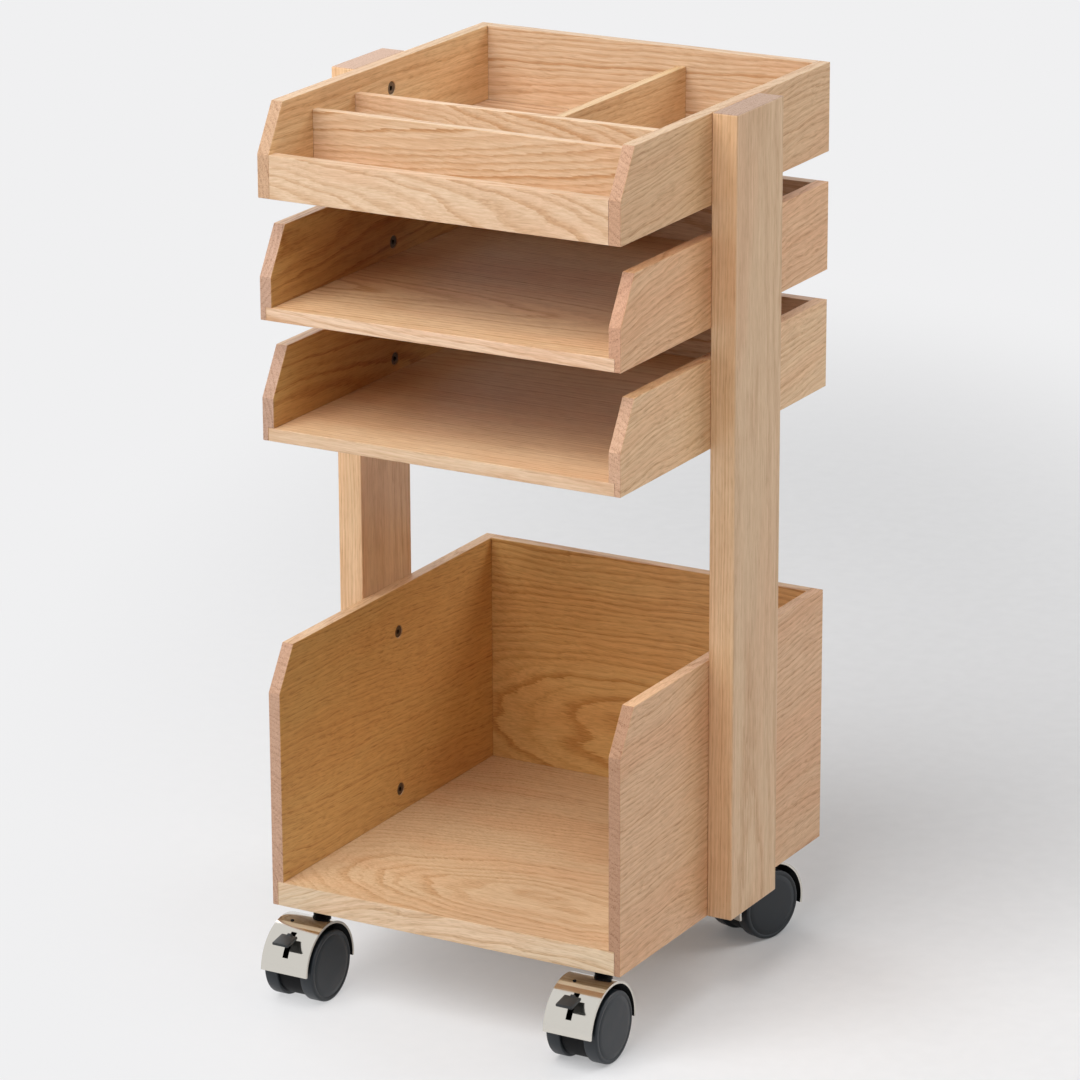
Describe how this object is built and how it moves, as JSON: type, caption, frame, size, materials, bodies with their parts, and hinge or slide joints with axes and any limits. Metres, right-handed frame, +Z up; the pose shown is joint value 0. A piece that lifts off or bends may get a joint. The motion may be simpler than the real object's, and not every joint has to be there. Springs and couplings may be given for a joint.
{
  "type": "rolling book cart",
  "caption": "Oak rolling cart with a divided top tray and open paper trays over a deep open-front bin, hung between flat posts on hooded casters with front brakes.",
  "frame": {"origin": "centre of the cart's outline on the floor that its wheels stand on", "axes": "+Z up, front and brake pedals towards -Y, +X towards the right-hand post seen from the front"},
  "size_m": [0.3686, 0.3918, 0.7451],
  "materials": {
    "oak": "clear oiled oak, satin",
    "dowel_beech": "plain beech",
    "bolt_steel": "plain steel",
    "insert_brass": "plain brass",
    "stem_black": "black oxide",
    "housing_plastic": "fine-grained black nylon",
    "wheel_plastic": "satin charcoal nylon",
    "lever_plastic": "satin charcoal nylon",
    "hood_chrome": "polished nickel plate"
  },
  "bodies": {
    "cart": {"left_post": "oak", "right_post": "oak", "top_tray_left_side": "oak", "top_tray_right_side": "oak", "top_tray_back": "oak", "top_tray_bottom": "oak", "top_tray_front_lip": "oak", "top_tray_front_divider": "oak", "top_tray_rear_divider": "oak", "top_tray_cross_divider": "oak", "middle_tray_left_side": "oak", "middle_tray_right_side": "oak", "middle_tray_back": "oak", "middle_tray_bottom": "oak", "lower_tray_left_side": "oak", "lower_tray_right_side": "oak", "lower_tray_back": "oak", "lower_tray_bottom": "oak", "bin_left_side": "oak", "bin_right_side": "oak", "bin_back": "oak", "bin_floor": "oak", "connector_bolts": "bolt_steel", "post_insert_nuts": "insert_brass", "locating_dowels": "dowel_beech", "caster_insert_nuts": "insert_brass", "stem_retaining_rings": "bolt_steel", "front_left_stem": "stem_black", "front_right_stem": "stem_black", "rear_left_stem": "stem_black", "rear_right_stem": "stem_black"},
    "front_left_caster": {"front_left_housing": "housing_plastic", "front_left_hood": "hood_chrome", "front_left_axle": "bolt_steel", "front_left_brake_pin": "bolt_steel"},
    "front_left_left_wheel_body": {"front_left_wheel_left": "wheel_plastic"},
    "front_left_right_wheel_body": {"front_left_wheel_right": "wheel_plastic"},
    "front_left_brake": {"front_left_brake_lever": "lever_plastic"},
    "front_right_caster": {"front_right_housing": "housing_plastic", "front_right_hood": "hood_chrome", "front_right_axle": "bolt_steel", "front_right_brake_pin": "bolt_steel"},
    "front_right_left_wheel_body": {"front_right_wheel_left": "wheel_plastic"},
    "front_right_right_wheel_body": {"front_right_wheel_right": "wheel_plastic"},
    "front_right_brake": {"front_right_brake_lever": "lever_plastic"},
    "rear_left_caster": {"rear_left_housing": "housing_plastic", "rear_left_hood": "hood_chrome", "rear_left_axle": "bolt_steel"},
    "rear_left_left_wheel_body": {"rear_left_wheel_left": "wheel_plastic"},
    "rear_left_right_wheel_body": {"rear_left_wheel_right": "wheel_plastic"},
    "rear_right_caster": {"rear_right_housing": "housing_plastic", "rear_right_hood": "hood_chrome", "rear_right_axle": "bolt_steel"},
    "rear_right_left_wheel_body": {"rear_right_wheel_left": "wheel_plastic"},
    "rear_right_right_wheel_body": {"rear_right_wheel_right": "wheel_plastic"}
  },
  "joints": [
    {"name": "front_left_swivel", "type": "hinge", "parent": "cart", "child": "front_left_caster", "pos_m": [-0.132, -0.13005, 0.0756], "axis": [0, 0, 1], "continuous": true},
    {"name": "front_left_left_wheel_roll", "type": "hinge", "parent": "front_left_caster", "child": "front_left_left_wheel_body", "pos_m": [-0.132, -0.15405, 0.03], "axis": [1, 0, 0], "continuous": true},
    {"name": "front_left_right_wheel_roll", "type": "hinge", "parent": "front_left_caster", "child": "front_left_right_wheel_body", "pos_m": [-0.132, -0.15405, 0.03], "axis": [1, 0, 0], "continuous": true},
    {"name": "front_left_brake", "type": "hinge", "parent": "front_left_caster", "child": "front_left_brake", "pos_m": [-0.132, -0.16271, 0.035], "axis": [1, 0, 0], "range_deg": [0, 24]},
    {"name": "front_right_swivel", "type": "hinge", "parent": "cart", "child": "front_right_caster", "pos_m": [0.132, -0.13005, 0.0756], "axis": [0, 0, 1], "continuous": true},
    {"name": "front_right_left_wheel_roll", "type": "hinge", "parent": "front_right_caster", "child": "front_right_left_wheel_body", "pos_m": [0.132, -0.15405, 0.03], "axis": [1, 0, 0], "continuous": true},
    {"name": "front_right_right_wheel_roll", "type": "hinge", "parent": "front_right_caster", "child": "front_right_right_wheel_body", "pos_m": [0.132, -0.15405, 0.03], "axis": [1, 0, 0], "continuous": true},
    {"name": "front_right_brake", "type": "hinge", "parent": "front_right_caster", "child": "front_right_brake", "pos_m": [0.132, -0.16271, 0.035], "axis": [1, 0, 0], "range_deg": [0, 24]},
    {"name": "rear_left_swivel", "type": "hinge", "parent": "cart", "child": "rear_left_caster", "pos_m": [-0.132, 0.16895, 0.0756], "axis": [0, 0, 1], "continuous": true},
    {"name": "rear_left_left_wheel_roll", "type": "hinge", "parent": "rear_left_caster", "child": "rear_left_left_wheel_body", "pos_m": [-0.132, 0.14495, 0.03], "axis": [1, 0, 0], "continuous": true},
    {"name": "rear_left_right_wheel_roll", "type": "hinge", "parent": "rear_left_caster", "child": "rear_left_right_wheel_body", "pos_m": [-0.132, 0.14495, 0.03], "axis": [1, 0, 0], "continuous": true},
    {"name": "rear_right_swivel", "type": "hinge", "parent": "cart", "child": "rear_right_caster", "pos_m": [0.132, 0.16895, 0.0756], "axis": [0, 0, 1], "continuous": true},
    {"name": "rear_right_left_wheel_roll", "type": "hinge", "parent": "rear_right_caster", "child": "rear_right_left_wheel_body", "pos_m": [0.12458, 0.14612, 0.03], "axis": [0.9511, -0.309, 0], "continuous": true},
    {"name": "rear_right_right_wheel_roll", "type": "hinge", "parent": "rear_right_caster", "child": "rear_right_right_wheel_body", "pos_m": [0.12458, 0.14612, 0.03], "axis": [0.9511, -0.309, 0], "continuous": true}
  ]
}
